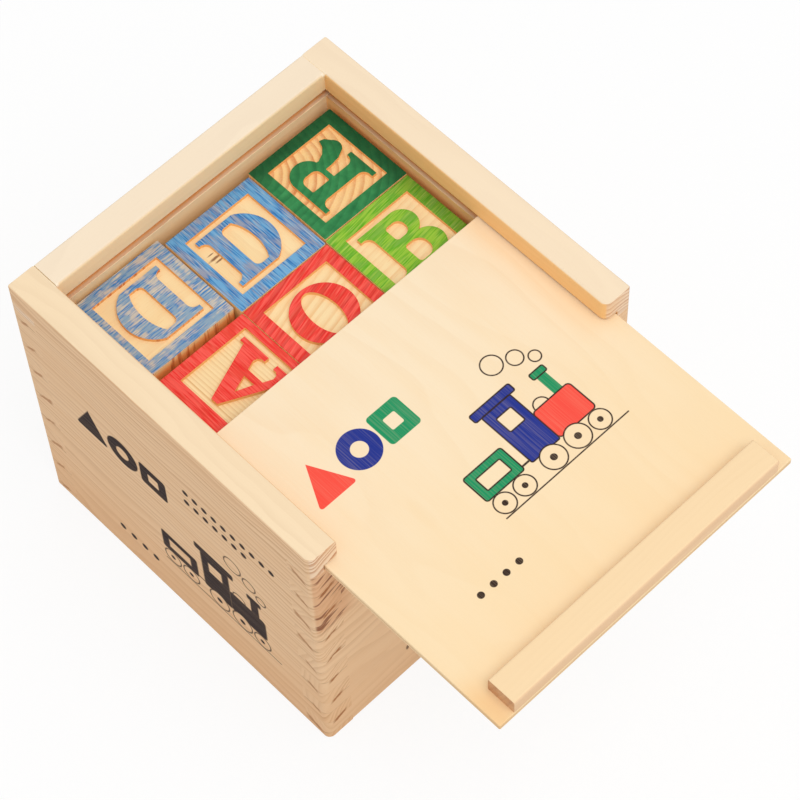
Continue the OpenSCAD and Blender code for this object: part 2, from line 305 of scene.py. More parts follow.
# slabs have a middle, half sizes and a corner radius; discs have a middle and a radius
trainPicture = {
    "pen": 0.42, "hub": 0.28,
    "cab": ((-1.0, -2.0), (5.0, 9.0), 0.6),
    "roof": ((-1.0, 8.2), (7.0, 1.3), 0.6),
    "window": ((-1.0, 1.6), (2.6, 2.6), 0.5),
    "boiler": ((10.5, -6.0), (6.5, 5.0), 1.2),
    "funnel": ((13.6, 2.4), (1.5, 3.4), 0.2),
    "rim": ((13.6, 6.4), (2.4, 1.0), 0.5),
    "wagon": ((-15.2, -6.6), (6.6, 4.4), 0.8),
    "panel": ((-15.2, -6.6), (4.2, 2.2), 0.4),
    "hitch": ((-7.2, -10.0), (1.5, 0.3), 0.1),
    "dome": ((7.6, -1.0), 2.3),
    "wheels": (((-1.0, -13.6), 3.6), ((7.6, -13.6), 3.6), ((15.0, -14.2), 3.0), ((-18.8, -14.2), 3.0),
               ((-11.8, -14.2), 3.0)),
    "puffs": (((16.6, 10.4), 1.7), ((12.6, 13.6), 2.3), ((6.8, 16.2), 3.0)),
    "track": ((0.0, -17.6), (21.8, 0.2), 0.1),
}


def toyTrain(finish, across, up, soft):
    # a little train in three colours of ink with dark outlines
    plan = trainPicture
    pen = plan["pen"]
    cab, roof, window, boiler, funnel, rim, wagon, panel, hitch, track = [
        slabShape(across, up, *plan[name])
        for name in ("cab", "roof", "window", "boiler", "funnel", "rim", "wagon", "panel", "hitch", "track")]
    wheels = [discShape(across, up, *wheel) for wheel in plan["wheels"]]
    hubs = [discShape(across, up, spot, radius * plan["hub"]) for spot, radius in plan["wheels"]]
    puffs = [discShape(across, up, *puff) for puff in plan["puffs"]]
    dome = discShape(across, up, *plan["dome"])
    clear = 1.0 - joined([filled(finish, wheel, soft) for wheel in wheels])
    blue = filled(finish, cab.least(roof), soft) * outside(finish, window, soft) * clear
    red = filled(finish, boiler, soft) * clear
    green = joined([filled(finish, funnel.least(rim), soft),
                    filled(finish, wagon, soft) * outside(finish, panel, soft) * clear])
    body = boiler.least(cab)
    lines = [drawn(finish, shape, pen, soft) * clear for shape in (cab, boiler, wagon)]
    lines += [drawn(finish, shape, pen, soft) for shape in (roof, window, rim, panel, *wheels, *puffs)]
    lines.append(drawn(finish, dome, pen, soft) * outside(finish, body, soft))
    lines += [filled(finish, shape, soft) for shape in (track, *hubs)]
    lines.append(filled(finish, hitch, soft) * clear)
    return {"red": red, "blue": blue, "green": green, "line": joined(lines)}


plainSizes = {"wedge": ((6.4, 6.2), 1.2), "disc": 6.0, "hole": 2.4, "square": ((5.2, 5.2), 1.2),
              "window": ((2.0, 2.0), 0.5)}


def plainShapes(finish, across, up, places, soft):
    # a triangle, a disc with a hole and a square with a window
    wedge = wedgeShape(across, up, places["wedge"], *plainSizes["wedge"])
    disc = discShape(across, up, places["disc"], plainSizes["disc"])
    hole = discShape(across, up, places["disc"], plainSizes["hole"])
    square = slabShape(across, up, places["square"], *plainSizes["square"])
    window = slabShape(across, up, places["square"], *plainSizes["window"])
    return {"red": filled(finish, wedge, soft),
            "blue": filled(finish, disc, soft) * outside(finish, hole, soft),
            "green": filled(finish, square, soft) * outside(finish, window, soft)}


def dotRow(finish, across, up, first, pitch, count, radius, soft):
    # evenly spaced dots, made by folding one dot along the row
    run = (across - first[0]) / pitch
    nearest = run.nearest().most(0.0).least(count - 1.0)
    dx = (run - nearest) * pitch
    dy = up - first[1]
    return finish.step((dx * dx + dy * dy).root(), radius + soft, radius - soft)


inkBreaks = (0.25, 0.6)


def inkOver(finish, colour, mask, ink, wood, cover):
    # ink that the fibres break up a little
    broken = cover + finish.step(wood["fibre"], *inkBreaks) * (1 - cover)
    return finish.blend(mask * broken, colour, tint(*ink))


# parts of the facing between which a surface counts as looking that way, or the other way
turned = (0.5, 0.8)
turnedBack = (-0.5, -0.8)


def fromLevel(level, offsets):
    return [level + each for each in offsets]


boxGrain = {
    "early": (243, 205, 163), "late": (200, 148, 100), "warm": (236, 192, 146), "pale": (244, 212, 177),
    "endEarly": (250, 226, 198), "endLate": (200, 144, 106),
    "contrast": 0.5, "endContrast": 0.6, "cloud": 0.5, "fleck": 0.14, "fibre": 0.35,
    "ring": 2.0, "sway": 10.0, "flutter": 0.8, "uneven": 2.2,
}
# how each wall is cut from its log, the paler tint of its top edge (a painted highlight where the tops face
# the light) and the tint of its inner face (painted warm bounce light and shade), and which way the inner
# face looks
wallCuts = {
    "left_wall": {"runs": "y", "pith": (-11.7, -10.5), "seed": 1, "contrast": 0.8, "rim": (253, 231, 195),
                  "inner": (252, 205, 150), "inward": 1},
    "right_wall": {"runs": "y", "pith": (-22.0, 24.0), "seed": 2, "rim": (253, 235, 206),
                   "inner": (255, 204, 134), "inward": -1},
    "back_wall": {"runs": "x", "pith": (-40.0, 96.0), "seed": 3, "rim": (254, 240, 216),
                  "inner": (255, 233, 190), "inward": -1},
    "front_wall": {"runs": "x", "pith": (22.0, -96.0), "seed": 4, "ring": 2.6, "contrast": 0.5, "foot": 0.25,
                   "rim": (250, 222, 184), "inner": (252, 205, 150), "inward": 1},
}
wallSurface = {"rough": 0.62, "lateSheen": 0.08, "fibre": 0.6, "late": 0.5, "worn": 0.2, "depth": 0.12,
               "gloss": 0.08}
endGrain = (-0.3, 0.3)  # shows on the rails' ends, above the lid's underside
paintedInnerLightShare = 0.8
wallFoot = {"tint": (232, 180, 130), "share": 0.45, "height": 48.0}
knot = {"spot": (-26.0, 13.9), "size": (0.5, 1.1), "edge": (1.5, 0.7), "tint": (84, 52, 30), "share": 0.8}
# painted shade inside the lid's groove
grooveShade = {"tint": (252, 178, 92), "share": 0.7, "mouth": (0.6, 1.4), "floor": (-4.0, -4.4),
          "foot": (-0.3, -0.1), "roof": (3.0, 2.9), "stop": 4.4, "open": 47.0}
railSeam = {"tint": (255, 240, 214), "share": 0.95, "top": (-1.2, -0.8), "behind": (47.2, 47.5),
            "beside": 47.4, "wide": (1.1, 0.9), "tilt": (0.97, 0.9)}
# painted highlight: upward faces at the top of the walls and of the strip take a paler tint where they face
# the light
rim = {"share": 0.75, "tilt": (0.55, 0.95), "top": (-1.6, -1.2)}
# corner fingers, the seams between them, the chips beside the seams, and the torn place under the lid, its
# reddish tint partly the wood's own and partly painted shade of the lid
corner = {"inset": 9.0, "edge": (-0.1, -0.4), "top": (0.2, -0.4), "firstSeam": -2.4, "finger": 6.3}
seamMarks = {"tint": (130, 86, 54), "share": 0.4, "pace": 0.25, "apart": 3.1, "wide": (0.5, 0.05),
             "full": 0.2, "broken": (0.35, 0.6), "least": 0.3}
chipMarks = {"tint": (170, 108, 62), "front": 0.9, "side": 0.65, "slope": 0.45, "apart": (7.3, 5.1, 0.004),
             "pace": 0.7, "shift": 6.0, "wide": 5.6, "fade": 1.6, "ragged": 0.9, "tall": (1.9, 0.9)}
tornAndShadedMarks = {"tint": (210, 148, 104), "share": 0.45, "reach": 15.0, "foot": (62.0, 66.0),
             "left": (30.0, -30.0), "streak": (124, 64, 36), "streakShare": 0.8,
             "pace": (0.12, 0.55), "broken": (0.52, 0.64)}
wallInk = {
    "ink": (32, 8, 8), "cover": 0.92, "soft": 0.24, "facing": (-0.9, -0.97), "train": (16.5, 41.0),
    "trainScale": 1.06,
    "shapes": {"wedge": (-31.0, 65.5), "disc": (-18.2, 65.0), "square": (-6.0, 65.0)},
    "dots": (((8.0, 77.2), 3.6, 10, 1.1), ((8.0, 72.2), 3.6, 7, 1.1), ((-26.0, 14.0), 4.6, 4, 1.2)),
}


def cornerMarks(finish, colour, x, y, z, ny):
    # seams between the corner fingers, short slanted chips where the cutter tore the wood, torn streaks, and
    # painted shade under the lid
    seams, chips, tears = seamMarks, chipMarks, tornAndShadedMarks
    faceEnd = finish.step(abs(ny), *turned)
    faceFront = finish.step(ny, *turnedBack)
    inX = boxHigh.x - abs(x)
    inY = boxHigh.y - abs(y)
    reach = corner["inset"]
    edge = fromLevel(reach, corner["edge"])
    below = finish.step(z, *fromLevel(lidLow, corner["top"]))
    zone = finish.step(inX, *edge) * finish.step(inY, *edge) * below
    inward = inY + (inX - inY) * faceEnd

    def seamAt(height):
        # distance to the nearest seam, its number, and 1 where it is one that shows on this face
        level = (lidLow - corner["firstSeam"] - height) / corner["finger"]
        number = level.nearest()
        odd = abs(number - (number / 2 + 0.25).nearest() * 2)
        shows = odd + faceEnd - odd * faceEnd * 2
        return abs(level - number) * corner["finger"], number, shows

    away, number, shows = seamAt(z)
    ragged = finish.noise(x * seams["pace"], y * seams["pace"], number * seams["apart"])
    widest, least = seams["wide"]
    seam = finish.step(away, ragged * widest + least, ragged * seams["full"])
    seam = seam * finish.step(ragged, *seams["broken"]) * zone
    seam = seam * (shows * (1.0 - seams["least"]) + seams["least"])

    slanted = z - (inward - reach / 2) * chips["slope"]
    away, number, shows = seamAt(slanted)
    byNumber, byFace, byPlace = chips["apart"]
    size = finish.noise(number * byNumber, faceEnd * byFace, x * byPlace)
    rough = finish.noise(x * chips["pace"], y * chips["pace"], z * chips["pace"]) - 0.5
    offset = abs(inward - reach / 2 - (size - 0.5) * chips["shift"] + rough)
    wide = finish.step(offset, size * chips["wide"], size * chips["wide"] - chips["fade"])
    outer, inner = chips["tall"]
    chip = finish.step(away + rough * chips["ragged"], size * outer, size * inner) * wide * shows * zone
    chipShare = chips["side"] + faceEnd * (chips["front"] - chips["side"])

    # reddish zone under the lid near the front corner: partly the wood's own darker tone, partly painted
    # shade where the lid's shadow falls; the dark streaks are torn fibres
    tornAndShaded = finish.step(inX, tears["reach"], reach) * finish.step(z, *tears["foot"])
    tornAndShaded = tornAndShaded * faceFront * below * finish.step(x, *tears["left"])
    inwardPace, slantedPace = tears["pace"]
    streak = finish.noise(inward * inwardPace, slanted * slantedPace, 0.5)
    streak = finish.step(streak, *tears["broken"]) * tornAndShaded
    colour = finish.blend(tornAndShaded * tears["share"], colour, tint(*tears["tint"]))
    colour = finish.blend(streak * tears["streakShare"], colour, tint(*tears["streak"]))
    colour = finish.blend(seam * seams["share"], colour, tint(*seams["tint"]))
    colour = finish.blend(chip * chipShare, colour, tint(*chips["tint"]))
    return colour, (seam + chip + streak).least(1.0)


def wallFinish(node):
    cut = wallCuts[node]
    finish = newFinish(node + "_pine")
    x, y, z = finish.place()
    nx, ny, nz = finish.facing()
    along, depth, endFace, broad = (y, x, ny, nx) if cut["runs"] == "y" else (x, y, nx, ny)
    ends = finish.step(abs(endFace), *turned) * finish.step(z, *fromLevel(lidLow, endGrain))
    wood = growWood(finish, along, z, depth, ends, {**boxGrain, **cut})
    low = finish.step(z, wallFoot["height"], 0.0) * cut.get("foot", wallFoot["share"])
    colour = finish.blend(low, wood["colour"], tint(*wallFoot["tint"]))
    # painted light: the inner faces take a warmer tint that stands for warm light bounced about inside the
    # box, and its shade
    inner = finish.step(broad * cut["inward"], *turned) * paintedInnerLightShare
    colour = finish.blend(inner, colour, tint(*cut["inner"]))
    if node == "front_wall":
        kx = (x - knot["spot"][0]) / knot["size"][0]
        kz = (z - knot["spot"][1]) / knot["size"][1]
        spot = finish.step((kx * kx + kz * kz).root(), *knot["edge"]) * finish.step(ny, *turnedBack)
        colour = finish.blend(spot * knot["share"], colour, tint(*knot["tint"]))
    # painted shade: warm orange where the lid's groove lies in shadow
    sunk = abs(x) - boxHigh.x if cut["runs"] == "y" else abs(y) - boxHigh.y
    within = finish.step(sunk, *fromLevel(-corner["inset"], grooveShade["mouth"]))
    within = within * finish.step(sunk, *grooveShade["floor"])
    within = within * finish.step(z, *fromLevel(lidLow, grooveShade["foot"]))
    within = within * finish.step(z, *fromLevel(lidLow, grooveShade["roof"]))
    farEnd = boxHigh["xyz".index(cut["runs"])] - grooveShade["stop"]
    within = within * finish.step(abs(along), farEnd, grooveShade["open"])
    colour = finish.blend(within * grooveShade["share"], colour, tint(*grooveShade["tint"]))
    # pale line where the rails meet, and the paler tops: a painted highlight where the tops face the light
    meeting = finish.step(z, *fromLevel(boxHigh.z, railSeam["top"])) * finish.step(y, *railSeam["behind"])
    meeting = meeting * finish.step(abs(abs(x) - railSeam["beside"]), *railSeam["wide"])
    meeting = meeting * finish.step(nz, *railSeam["tilt"])
    colour = finish.blend(meeting * railSeam["share"], colour, tint(*railSeam["tint"]))
    up = finish.step(nz, *rim["tilt"]) * finish.step(z, *fromLevel(boxHigh.z, rim["top"]))
    colour = finish.blend(up * rim["share"], colour, tint(*cut["rim"]))
    colour, worn = cornerMarks(finish, colour, x, y, z, ny)
    if node == "left_wall":
        side = finish.step(nx, *wallInk["facing"])
        across = y * -1.0
        soft = wallInk["soft"]
        scale = wallInk["trainScale"]
        spot = wallInk["train"]
        train = toyTrain(finish, (across - spot[0]) / scale, (z - spot[1]) / scale, soft)
        shapes = plainShapes(finish, across, z, wallInk["shapes"], soft)
        rows = [dotRow(finish, across, z, *row, soft) for row in wallInk["dots"]]
        inked = joined([*train.values(), *shapes.values(), *rows]) * side
        colour = inkOver(finish, colour, inked, wallInk["ink"], wood, wallInk["cover"])
    rough = wallSurface["rough"] - wood["late"] * wallSurface["lateSheen"]
    height = relief(wood, wallSurface) - worn * wallSurface["worn"]
    return finish.coat(colour, rough, height, wallSurface["depth"], wallSurface["gloss"])


lidGrain = {
    "early": (253, 231, 197), "late": (243, 209, 163), "warm": (252, 223, 180), "pale": (254, 236, 207),
    "endEarly": (250, 222, 182), "endLate": (226, 184, 136),
    "contrast": 0.3, "endContrast": 0.3, "cloud": 0.5, "fleck": 0.1, "fibre": 0.3,
    "ring": 7.0, "sway": 26.0, "flutter": 0.5, "uneven": 1.5, "pith": (-20.0, 130.0), "seed": 11,
}
lidFrontTint = {"tint": (252, 221, 170), "share": 0.6, "from": -20.0, "to": -112.0}  # yellower toward its front
# painted shade: a warm darker tint on the lid beside the right rail and beside the pull strip's left end,
# where shade falls
lidPaintedShade = {"tint": (249, 203, 142),
           "right": (37.0, 48.0), "beside": (-60.0, -54.0), "rightShare": 0.2,
           "left": (-43.0, -50.0), "front": (-98.0, -110.0), "leftShare": 0.7}
lidPlies = {"levels": (0.34, 0.67), "core": (238, 200, 152), "coreFade": 0.02, "coreShare": 0.8,
            "glue": (190, 142, 98), "glueWide": (0.05, 0.02), "glueShare": 0.7}
lidSurface = {"rough": 0.55, "fibreRough": 0.1, "fibre": 0.5, "late": 0.3, "depth": 0.08, "gloss": 0.1}
lidInk = {
    "red": (251, 84, 70), "blue": (38, 54, 142), "green": (28, 148, 96), "dark": (52, 36, 30),
    "cover": 0.9, "darkCover": 0.85, "soft": 0.09, "facing": (0.9, 0.97), "train": (11.0, -61.0),
    "shapes": {"wedge": (-35.4, -38.6), "disc": (-22.8, -38.8), "square": (-11.0, -38.8)},
    "dots": ((-30.0, -89.0), 4.4, 4, 1.0),
}


def lidFinish(node):
    finish = newFinish(node + "_ply")
    x, y, z = finish.place()
    nz = finish.facing()[2]
    low, high = span(node)
    flat = finish.step(abs(nz), *turned)
    onEdge = 1.0 - flat
    wood = growWood(finish, y, x, z, onEdge, lidGrain)
    towardFront = finish.step(y, lidFrontTint["from"], lidFrontTint["to"]) * lidFrontTint["share"]
    colour = finish.blend(towardFront, wood["colour"], tint(*lidFrontTint["tint"]))
    # painted shade beside the right rail and beside the strip's left end
    warm = finish.step(x, *lidPaintedShade["right"]) * finish.step(y, *lidPaintedShade["beside"]) * lidPaintedShade["rightShare"]
    stripEndShade = finish.step(x, *lidPaintedShade["left"]) * finish.step(y, *lidPaintedShade["front"]) * lidPaintedShade["leftShare"]
    colour = finish.blend(warm.most(stripEndShade), colour, tint(*lidPaintedShade["tint"]))
    # plies that show on the edges
    layer = (z - low.z) / (high.z - low.z)
    lower, upper = lidPlies["levels"]
    fade = lidPlies["coreFade"]
    core = finish.step(layer, lower - fade, lower + fade) * finish.step(layer, upper + fade, upper - fade)
    colour = finish.blend(core * onEdge * lidPlies["coreShare"], colour, tint(*lidPlies["core"]))
    glue = joined([finish.step(abs(layer - each), *lidPlies["glueWide"]) for each in (lower, upper)])
    colour = finish.blend(glue * onEdge * lidPlies["glueShare"], colour, tint(*lidPlies["glue"]))
    if node == "lid_panel":
        soft = lidInk["soft"]
        spot = lidInk["train"]
        train = toyTrain(finish, x - spot[0], y - spot[1], soft)
        shapes = plainShapes(finish, x, y, lidInk["shapes"], soft)
        dots = dotRow(finish, x, y, *lidInk["dots"], soft)
        top = finish.step(nz, *lidInk["facing"])
        for name in ("red", "blue", "green"):
            inked = train[name].most(shapes[name]) * top
            colour = inkOver(finish, colour, inked, lidInk[name], wood, lidInk["cover"])
        inked = train["line"].most(dots) * top
        colour = inkOver(finish, colour, inked, lidInk["dark"], wood, lidInk["darkCover"])
    rough = lidSurface["rough"] + wood["fibre"] * lidSurface["fibreRough"]
    return finish.coat(colour, rough, relief(wood, lidSurface), lidSurface["depth"], lidSurface["gloss"])


# the strip's end grain is darker than the box's: partly its own end grain, partly painted shade on its shaded
# end
stripGrain = {**boxGrain, "pith": (120.0, -60.0), "seed": 15, "contrast": 0.25, "endContrast": 0.5,
              "endEarly": (200, 136, 84), "endLate": (162, 100, 60), "rim": (252, 224, 179)}
stripSurface = {"rough": 0.62, "lateSheen": 0.08, "fibre": 0.6, "late": 0.4, "depth": 0.1, "gloss": 0.1}


def stripFinish():
    finish = newFinish("pull_strip_pine")
    x, y, z = finish.place()
    facing = finish.facing()
    wood = growWood(finish, x, z, y, finish.step(abs(facing[0]), *turned), stripGrain)
    # painted highlight: the strip's top takes a paler tint where it faces the light
    up = finish.step(facing[2], *rim["tilt"]) * rim["share"]
    colour = finish.blend(up, wood["colour"], tint(*stripGrain["rim"]))
    rough = stripSurface["rough"] - wood["late"] * stripSurface["lateSheen"]
    height = relief(wood, stripSurface)
    return finish.coat(colour, rough, height, stripSurface["depth"], stripSurface["gloss"])


cubeGrain = {
    "early": (254, 227, 174), "late": (234, 172, 102), "warm": (251, 213, 150), "pale": (254, 234, 190),
    "endEarly": (250, 206, 140), "endLate": (214, 146, 80),
    "contrast": 0.75, "endContrast": 0.1, "cloud": 0.4, "fleck": 0.34, "fibre": 0.3,
    "sway": 3.0, "flutter": 0.5, "uneven": 0.9,
}
paints = {
    "blue_block": {"thin": (114, 174, 216), "thick": (18, 110, 180), "wear": 0.4},
    "red_block": {"thin": (255, 96, 84), "thick": (240, 44, 38), "wear": 0.06},
    "green_block": {"thin": (66, 154, 90), "thick": (20, 106, 56), "wear": 0.06},
    "lime_block": {"thin": (158, 202, 62), "thick": (94, 174, 26), "wear": 0.1},
}
# how a cube is cut that isn't seen: ranges to draw from, for grain that lies flat and for end grain on top
freeCut = {"turns": (0, 90, None), "flatAcross": (-40, 40), "flatBelow": (-60, -25), "endAcross": (-30, 30),
           "endBehind": 22, "ring": (1.4, 2.4)}
plainCut = {"streak": 2.6, "patch": 0.16, "ridges": 0.22}
# how the seen cubes are cut: the turn of the grain (none is end grain), the pith, the rings, how fine the
# paint's streaks and patches are and how much of it is gone; then dark marks in the field (place and half
# size), painted shade that darkens the paint beside the walls (its start across and back, and how much),
# and a side torn by the saw, with painted warm shade lower down
cubeCuts = {
    "block_d_two": {"turn": 0, "pith": (4.0, -60.0), "ring": 1.3, "wear": 0.6, "streak": 2.0, "patch": 0.4,
                    "contrast": 0.35, "thin": (146, 170, 188), "thick": (58, 126, 190),
                    "tornSide": {"paintedGapShade": (255, 172, 104), "streak": (196, 96, 44), "share": 0.7}},
    "block_d": {"turn": 90, "pith": (10.0, -55.0), "ring": 1.3, "wear": 0.32, "streak": 2.8, "contrast": 0.4,
                "marks": ((-8.3, 2.8, 2.3, 0.5), (-7.9, 1.5, 1.7, 0.35), (-8.6, 4.4, 1.3, 0.25))},
    "block_r": {"turn": None, "pith": (-16.0, 15.5), "ring": 2.2, "contrast": 1.2, "ridges": 0.4, "wear": 0.0,
                "shade": ((4.0, 4.0), 0.65), "early": (254, 212, 142), "late": (216, 132, 62)},
    "block_a": {"turn": 90, "pith": (60.0, -30.0), "ring": 1.03, "uneven": 0.2, "sway": 0.8, "flutter": 0.15,
                "late": (222, 176, 112), "contrast": 0.9},
    "block_o": {"turn": 14, "pith": (34.0, -24.0), "ring": 1.9, "ridges": 0.8},
    "block_b": {"turn": 6, "pith": (-40.0, -36.0), "ring": 1.6, "contrast": 0.4,
                "shade": ((6.0, 99.0), 0.45)},
}
recess = {"border": 3.8, "within": 0.6, "fade": 0.2, "upright": (0.6, 0.3), "side": (246, 184, 112),
          "sideShare": 0.85, "flank": (255, 218, 156), "paintedLightShare": 0.6, "paintedLightFoot": (-11.0, -6.0)}
fieldMark = {"tint": (122, 62, 26), "share": 0.85, "pace": 0.9, "ragged": 0.8, "edge": (1.6, 0.7)}
tornFace = {"facing": (-0.6, -0.8), "foot": (-14.0, -8.0), "paintedGapShade": (-0.3, -3.0), "pace": (0.8, 0.06),
            "broken": (0.48, 0.62)}
# paint: the paces of its streaks, patches and worn threads, their parts in the sum, and the darker tones
coating = {
    "endPace": 0.4, "streakPace": 0.14, "patchPace": 0.3, "streakPart": 0.6, "patchPart": 0.4,
    "endBody": (0.1, 0.95), "body": (0.41, 0.59), "ridgeTone": 0.8, "shadeTone": 0.55,
    "shadeX": 14.0, "shadeRun": 10.0,
    "threadPace": 0.2, "threadFine": 1.3, "threadPart": 0.6, "barePart": 0.5, "bare": (0.5, 0.68),
    "height": (-0.55, -0.4), "facing": (0.3, 0.5),
}
cubeSurface = {"rough": 0.6, "paintSheen": 0.12, "fibre": 0.7, "late": 0.6, "streak": 0.4, "depth": 0.12,
               "gloss": 0.18}


def toned(colour, share):
    return tint(*[each * share for each in colour])


def cubeCut(node, seed):
    dice = random.Random(seed)
    turn = dice.choice(freeCut["turns"])
    if turn is None:
        pith = (dice.uniform(*freeCut["endAcross"]), freeCut["endBehind"])
    else:
        pith = (dice.uniform(*freeCut["flatAcross"]), dice.uniform(*freeCut["flatBelow"]))
    drawnCut = {"turn": turn, "pith": pith, "ring": dice.uniform(*freeCut["ring"]), "seed": seed}
    return {**drawnCut, **plainCut, **paints[slotOf[node]], **cubeCuts.get(node, {})}


def cubeFinish(node, seed):
    cut = cubeCut(node, seed)
    finish = newFinish(node + "_painted")
    x, y, z = finish.place()
    nx, ny, nz = finish.facing()
    low, high = span(node)
    middle = (low + high) / 2
    x = x - middle.x
    y = y - middle.y
    z = z - high.z
    endUp = cut["turn"] is None
    if endUp:
        along, across, depth = z, x, y
        ends = 0.0
    else:
        cosTurn = math.cos(math.radians(cut["turn"]))
        sinTurn = math.sin(math.radians(cut["turn"]))
        along, across, depth = x * cosTurn + y * sinTurn, y * cosTurn - x * sinTurn, z
        ends = finish.step(abs(nx * cosTurn + ny * sinTurn), *turned)
    wood = growWood(finish, along, across, depth, ends, {**cubeGrain, **cut})
    colour = wood["colour"]
    for markX, markY, halfLong, halfTall in cut.get("marks", ()):
        mx = (x - markX) / halfLong
        my = (y - markY) / halfTall
        ragged = finish.noise(x * fieldMark["pace"], y * fieldMark["pace"], z) * fieldMark["ragged"]
        spot = finish.step((mx * mx + my * my).root() + ragged, *fieldMark["edge"])
        colour = finish.blend(spot * fieldMark["share"], colour, tint(*fieldMark["tint"]))
    # cut sides of the sunk field, and a painted highlight on the cube's own sides near the top, where the
    # gaps between the cubes lie in shade
    inside = high.x - middle.x - recess["border"] * recess["within"]
    upright = finish.step(abs(nz), *recess["upright"])
    sides = upright * finish.step(abs(x).most(abs(y)), inside + recess["fade"], inside)
    colour = finish.blend(sides * recess["sideShare"], colour, tint(*recess["side"]))
    # painted light: the sides near the top take a paler tint that stands for light reaching into the gaps
    flank = upright * finish.step(z, *recess["paintedLightFoot"]) * (1.0 - sides)
    colour = finish.blend(flank * recess["paintedLightShare"], colour, tint(*recess["flank"]))
    # thin paint on what stands up
    fine = cut["streak"]
    if endUp:
        pace = coating["endPace"]
        streak = finish.noise(along * pace, across * pace, depth * pace, 2.0)
    else:
        streak = finish.noise(along * coating["streakPace"], across * fine, depth * fine, 2.0)
    pace = coating["patchPace"]
    patch = finish.noise(along * cut["patch"], across * pace, depth * pace)
    body = streak * coating["streakPart"] + patch * coating["patchPart"]
    body = finish.step(body, *coating["endBody" if endUp else "body"])
    coat = finish.blend(body, tint(*cut["thin"]), tint(*cut["thick"]))
    coat = finish.blend(wood["late"] * cut["ridges"], coat, toned(cut["thick"], coating["ridgeTone"]))
    if "shade" in cut:
        # painted shade: darker paint beside the walls, where the walls' shadow falls
        (fromX, fromY), most = cut["shade"]
        near = finish.step(x, fromX, coating["shadeX"])
        near = near.most(finish.step(y, fromY, fromY + coating["shadeRun"]))
        coat = finish.blend(near * most, coat, toned(cut["thick"], coating["shadeTone"]))
    fine = fine * coating["threadFine"]
    thread = finish.noise(along * coating["threadPace"], across * fine, depth * fine, 2.0)
    bare = thread * coating["threadPart"] + patch * coating["barePart"]
    worn = finish.step(bare, *coating["bare"]) * cut["wear"]
    if "tornSide" in cut:
        # the front side, torn by the saw, and painted warm shade further down, where the gap between the
        # cubes lies in shadow
        tornAndShaded = cut["tornSide"]
        front = finish.step(ny, *tornFace["facing"]) * finish.step(z, *tornFace["foot"])
        colour = finish.blend(front * finish.step(z, *tornFace["paintedGapShade"]), colour, tint(*tornAndShaded["paintedGapShade"]))
        acrossPace, downPace = tornFace["pace"]
        ragged = finish.step(finish.noise(x * acrossPace, y, z * downPace, 2.0), *tornFace["broken"])
        colour = finish.blend(front * ragged * tornAndShaded["share"], colour, tint(*tornAndShaded["streak"]))
    raised = finish.step(z, *coating["height"]) * finish.step(nz, *coating["facing"])
    share = raised * (1.0 - worn)
    colour = finish.blend(share, colour, coat)
    rough = cubeSurface["rough"] - share * cubeSurface["paintSheen"]
    height = relief(wood, cubeSurface) + streak * cubeSurface["streak"]
    return finish.coat(colour, rough, height, cubeSurface["depth"], cubeSurface["gloss"])


stripFoot = span("pull_strip")[0].z
softening = {"weld": 0.002, "flat": 0.3, "sharp": 40.0, "segments": 2, "profile": 0.5}  # weld in mm, degrees
hair = 0.05  # how near an edge has to be to count as on a face, in millimetres
slidingAir = 0.03  # between the lid's underside and the wood it slides on, in millimetres


def isGlued(node, spot):
    # an edge where two pieces meet, which is glued and sanded flush
    if node == "pull_strip":
        return spot.z < stripFoot + hair
    inset = corner["inset"] + hair
    if node not in wallCuts or abs(spot.x) < boxHigh.x - inset or abs(spot.y) < boxHigh.y - inset:
        return False
    return spot.z < lidLow - hair or spot.y > 0 and abs(spot.x) < boxHigh.x - inset + 2 * hair


def easedCopy(node, material, ease):
    # the node's own shape with its sharp edges softened
    source = frame["nodes"][node]
    mesh = source.data.copy()
    mesh.name = node + "_eased"
    if "custom_normal" in mesh.attributes:
        mesh.attributes.remove(mesh.attributes["custom_normal"])
    shape = bmesh.new()
    shape.from_mesh(mesh)
    weld = softening["weld"] / perMetre
    bmesh.ops.remove_doubles(shape, verts=shape.verts, dist=weld)
    bmesh.ops.dissolve_limit(shape, angle_limit=math.radians(softening["flat"]), verts=shape.verts,
                             edges=shape.edges, use_dissolve_boundaries=False)
    if node in wallCuts:
        # the long edges end where the back wall meets them
        meeting = Vector((0, boxHigh.y - corner["inset"], 0)) / perMetre
        bmesh.ops.bisect_plane(shape, geom=[*shape.verts, *shape.edges, *shape.faces], dist=weld,
                               plane_co=meeting, plane_no=(0, 1, 0))
    if node == "lid_panel":
        for vert in shape.verts:
            if vert.co.z * perMetre < lidLow + 2 * hair:
                vert.co.z += slidingAir / perMetre
    weight = shape.edges.layers.float.new("bevel_weight_edge")
    sharpest = math.radians(softening["sharp"])
    for edge in shape.edges:
        sharp = len(edge.link_faces) == 2 and edge.calc_face_angle() > sharpest
        middle = (edge.verts[0].co + edge.verts[1].co) / 2 * perMetre
        glued = sharp and isGlued(node, middle)
        edge[weight] = 1.0 if sharp and not glued else 0.0
        edge.smooth = not glued
    for face in shape.faces:
        face.smooth = True
    shape.to_mesh(mesh)
    shape.free()
    mesh.materials.clear()
    mesh.materials.append(material)
    piece = bpy.data.objects.new(node + "_wood", mesh)
    bpy.context.scene.collection.objects.link(piece)
    soften = piece.modifiers.new("soften", "BEVEL")
    soften.width = ease / perMetre
    soften.segments = softening["segments"]
    soften.profile = softening["profile"]
    soften.limit_method = "WEIGHT"
    soften.use_clamp_overlap = False
    soften.harden_normals = True
    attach(piece, bodyOf[node])
    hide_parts(node)
    return piece


ease = {"wall": 0.22, "lid": 0.3, "strip": 0.3, "cube": 0.13}  # widths of the softened edges
firstCubeSeed = 21

for node in wallCuts:
    easedCopy(node, wallFinish(node), ease["wall"])
print("walls finished")

